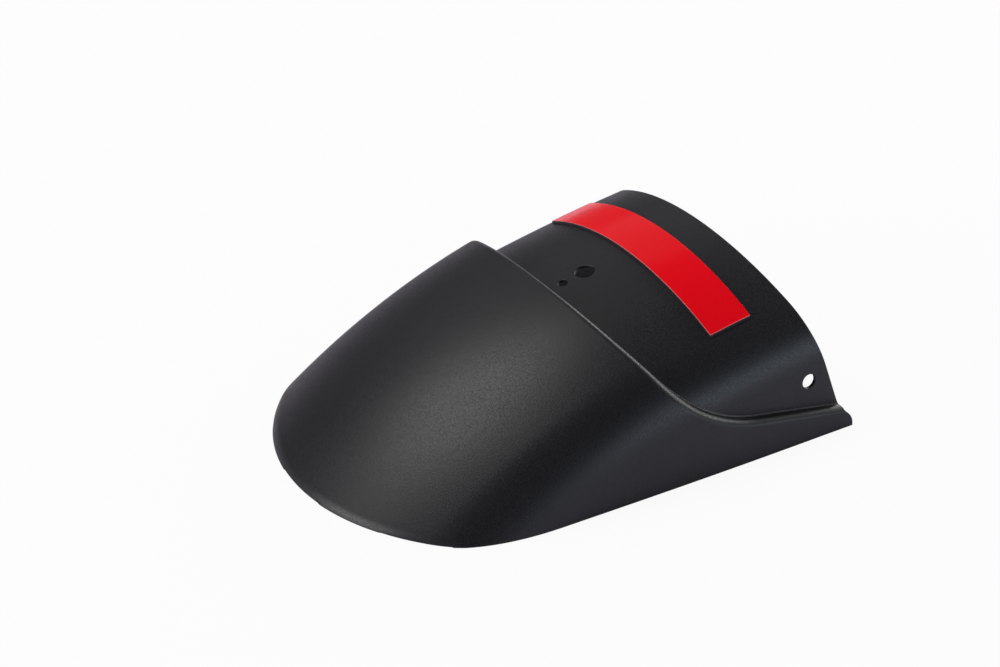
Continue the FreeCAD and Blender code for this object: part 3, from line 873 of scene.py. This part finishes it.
# %% [markdown]
# ## Satin black plastic
# The moulding is black plastic with the fine grain of a spark-eroded mould: at arm's length a satin sheen,
# close up a speckle that shows best in the highlight. The grain could be modelled, with millions of faces.
# One noise does the same here: it is a small bump, and it changes colour and roughness from cell to cell.
# A broad noise shifts the roughness a little over the whole shell.

# %% Shell plastic
BLACK = (0.0043, 0.0041, 0.0062, 1.0)
SPECK = (0.0077, 0.0073, 0.0105, 1.0)
GRAIN_CELL = 0.0007
GRAIN_HEIGHT = 0.00006
CLOUD_CELL = 0.03
LEAST_ROUGH = 0.21
GRAIN_ROUGH = 0.37
CLOUD_ROUGH = 0.05
plastic = Finish("satin_black_plastic", Specular_IOR_Level=0.42)
grain = plastic.noise(GRAIN_CELL, detail=2.0)
cloud = plastic.noise(CLOUD_CELL, detail=1.0)
plastic.feed(
    Base_Color=plastic.blend(grain, BLACK, SPECK),
    Roughness=LEAST_ROUGH + GRAIN_ROUGH * grain + CLOUD_ROUGH * cloud,
    Normal=plastic.bump(grain, GRAIN_HEIGHT, strength=0.55),
)
dress(shell, plastic)

# %% [markdown]
# ## Foam and film
# The foam is a matte dark grey with fine pores. The liner is a glossy red film that lies on it with a
# slight wave. Its cut edge at the front and at the ends gets a painted highlight, a paler pink where the
# edge catches the light. That edge could be a piece of its own, but it is only a line, so each point of the
# strip carries a number that says whether it lies there.

# %% Tape and liner finishes
PORE = (0.012, 0.012, 0.013, 1.0)
FOAM_GREY = (0.035, 0.035, 0.037, 1.0)
PORE_CELL = 0.0006
PORE_DEPTH = 0.0001
foam = Finish("dark_foam", Roughness=0.9)
pores = foam.noise(PORE_CELL, detail=3.0)
foam.feed(
    Base_Color=foam.blend(pores, PORE, FOAM_GREY),
    Normal=foam.bump(pores, PORE_DEPTH, strength=0.5),
)
dress(tape, foam)

RED = (0.92, 0.001, 0.010, 1.0)
DEEP_RED = (0.82, 0.0005, 0.006, 1.0)
# A painted highlight: the pale pink of the liner's cut edge where it catches the light.
CUT_EDGE_HIGHLIGHT = (0.80, 0.20, 0.22, 1.0)
TINT_CELL = 0.05
WAVE_CELL = 0.02
WAVE_HEIGHT = 0.0004
film = Finish("red_film", Roughness=0.2, Specular_IOR_Level=0.2)
# The edge mask lays the painted highlight of the cut edge into the film's colour.
painted_edge_highlight = film.node("ShaderNodeAttribute", {"attribute_name": "painted_edge_highlight"}, {}, "Fac")
tint = film.blend(film.noise(TINT_CELL, detail=1.0), DEEP_RED, RED)
wave = film.noise(WAVE_CELL, detail=1.0)
film.feed(
    Base_Color=film.blend(painted_edge_highlight * painted_edge_highlight, tint, CUT_EDGE_HIGHLIGHT),
    Normal=film.bump(wave, WAVE_HEIGHT, strength=0.5),
)
dress(liner, film)

# %% [markdown]
# ## Floor, light and camera
# The part stands on a white floor under soft lamps. The floor could be made white by more light, which
# would wash out the part. Here the camera sees most of the floor's colour as its own light, and a
# reflection sees a little of it, so that the floor looks white at a plain level of light and still takes
# a faint shadow. Its own colour is a pale violet, which the plastic mirrors in the side wall.
#
# A key lamp high in front on the left gives the long soft highlight on the cover. A low lamp ahead catches
# the nose's rim, a low cool one the right shoulder, and a wide low one behind draws the bright line of the
# ridge. A weak wide lamp on the left lifts the far side of the crown. The camera looks down from the front
# on the right, through a long lens from a metre away.

# %% Floor
FLOOR_HALF = 4.0
FLOOR_Z = -0.0001
FLOOR_GLOW = 0.93
MIRROR_SHARE = 0.11
PALE_VIOLET = (0.79, 0.735, 0.86, 1.0)
WHITE = (1.0, 1.0, 1.0, 1.0)

floor_corners = [(x * FLOOR_HALF, y * FLOOR_HALF, FLOOR_Z) for x, y in ((-1, -1), (1, -1), (1, 1), (-1, 1))]
floor_mesh = bpy.data.meshes.new("floor")
floor_mesh.from_pydata(floor_corners, [], [(0, 1, 2, 3)])
floor = add_object("floor", floor_mesh)

paper = Finish("white_floor", Roughness=0.8, Base_Color=PALE_VIOLET)
seen = paper.node("ShaderNodeLightPath", {}, {}, "Is Camera Ray")
through = paper.node("ShaderNodeLightPath", {}, {}, "Is Transmission Ray")
mirrored = paper.node("ShaderNodeLightPath", {}, {}, "Is Glossy Ray")
glow = paper.node("ShaderNodeEmission", {}, {"Color": WHITE, "Strength": 1.0})
mixed = paper.node("ShaderNodeMixShader", {}, {
    0: (seen + through + mirrored * MIRROR_SHARE) * FLOOR_GLOW,
    1: Wire(paper, paper.shader.outputs[0]),
    2: glow,
})
paper.set(paper.nodes["Material Output"], {"Surface": mixed})
dress(floor, paper)

# %% Light
ROOM = (0.14, 0.14, 0.145)
world = bpy.data.worlds.new("studio")
bpy.context.scene.world = world
world.color = ROOM


def direction(azimuth, elevation):
    """Unit vector from the part towards an azimuth and an elevation, in degrees."""
    level = math.cos(math.radians(elevation))
    turn = math.radians(azimuth)
    return np.array([level * math.sin(turn), -level * math.cos(turn), math.sin(math.radians(elevation))])


def face_place(piece, place, azimuth, elevation, distance):
    """Set a lamp or a camera at a direction and a distance from a place, facing it.

    Azimuth 0 is ahead of the nose and 90 on the right.
    """
    piece.location = place + distance * direction(azimuth, elevation)
    piece.rotation_euler = (math.radians(90 - elevation), 0.0, math.radians(azimuth))


def soft_lamp(name, azimuth, elevation, distance, wide, high, glow, colour):
    """Area lamp that faces the part, as bright as its glow.

    A lamp of glow 1 looks white, and gives pi times its area in watts.
    """
    lamp = bpy.data.lights.new(name, "AREA")
    lamp.shape = "RECTANGLE"
    lamp.size = wide
    lamp.size_y = high
    lamp.energy = glow * math.pi * wide * high
    lamp.color = colour
    face_place(add_object(name, lamp), np.zeros(3), azimuth, elevation, distance)
    print("%s gives %.2f W" % (name, lamp.energy))


WARM = (1.0, 0.98, 0.95)
PLAIN = (1.0, 1.0, 1.0)
COOL = (0.76, 0.89, 1.0)
# Name, azimuth, elevation, distance, width, height, glow and colour of each lamp.
LAMPS = (
    ("key_lamp", -42, 63, 1.25, 0.70, 0.70, 4.7, WARM),
    ("front_lamp", -10, 18, 1.20, 0.70, 0.50, 6.0, PLAIN),
    ("side_lamp", 118, 9, 1.30, 0.70, 0.36, 3.6, COOL),
    ("back_lamp", -170, 20, 1.40, 1.60, 0.55, 5.0, PLAIN),
    ("left_lamp", -105, 38, 1.40, 1.20, 0.80, 0.28, PLAIN),
)
for lamp in LAMPS:
    soft_lamp(*lamp)

# %% Camera
AZIMUTH = 57.85
ELEVATION = 30.39
DISTANCE = 1.00331
AIM = np.array([-0.02197, 0.00129, 0.0244])
IMAGE_WIDTH = 1000
FOCUS_PIXELS = 2516.8
SENSOR_WIDTH = 36.0
lens = bpy.data.cameras.new("camera")
lens.sensor_width = SENSOR_WIDTH
lens.lens = FOCUS_PIXELS * SENSOR_WIDTH / IMAGE_WIDTH
camera = add_object("camera", lens)
face_place(camera, AIM, AZIMUTH, ELEVATION, DISTANCE)
bpy.context.scene.camera = camera
bpy.context.scene.view_settings.view_transform = "Standard"
print("camera at %s with a %.1f mm lens" % (np.round(camera.location, 4), lens.lens))
